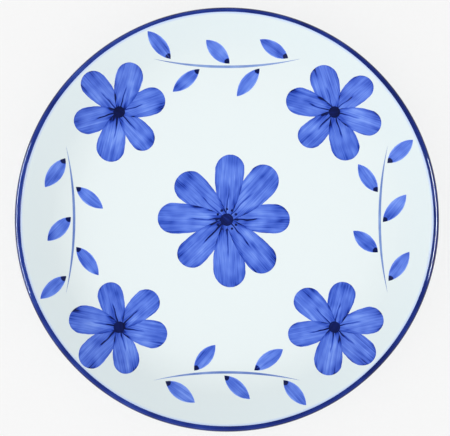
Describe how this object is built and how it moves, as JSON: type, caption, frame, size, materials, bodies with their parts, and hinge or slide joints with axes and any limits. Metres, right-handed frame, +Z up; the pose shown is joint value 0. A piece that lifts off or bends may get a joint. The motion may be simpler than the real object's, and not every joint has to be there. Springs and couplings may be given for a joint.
{
  "type": "bread and butter plate",
  "caption": "Small round coupe plate of white glazed ware on a foot ring, with a cobalt band on the lip and brushed blue flowers and leafy garlands.",
  "frame": {"origin": "centre of the foot ring, on the plane that the plate stands on", "axes": "+Z up along the axis of the plate; +Y is the top of the picture; +X to the right"},
  "size_m": [0.1656, 0.1656, 0.0193],
  "materials": {
    "clay": "matt fired clay, bare on the tread",
    "glaze": "glossy white glaze",
    "cobalt": "brushed cobalt under a glossy glaze",
    "cobalt_dark": "dense cobalt under a glossy glaze",
    "cobalt_pale": "thin cobalt wash under a glossy glaze"
  },
  "bodies": {
    "root": {"plate_body": "clay", "glaze_coat": "glaze", "rim_band": "cobalt_dark", "centre_flower": "cobalt", "centre_eye": "cobalt_dark", "border_flower_1": "cobalt", "border_flower_2": "cobalt", "border_flower_3": "cobalt", "border_flower_4": "cobalt", "border_eye_1": "cobalt_dark", "border_eye_2": "cobalt_dark", "border_eye_3": "cobalt_dark", "border_eye_4": "cobalt_dark", "garland_stem_1": "cobalt_pale", "garland_stem_2": "cobalt_pale", "garland_stem_3": "cobalt_pale", "garland_stem_4": "cobalt_pale", "garland_leaves_1": "cobalt", "garland_leaves_2": "cobalt", "garland_leaves_3": "cobalt", "garland_leaves_4": "cobalt"}
  },
  "joints": []
}
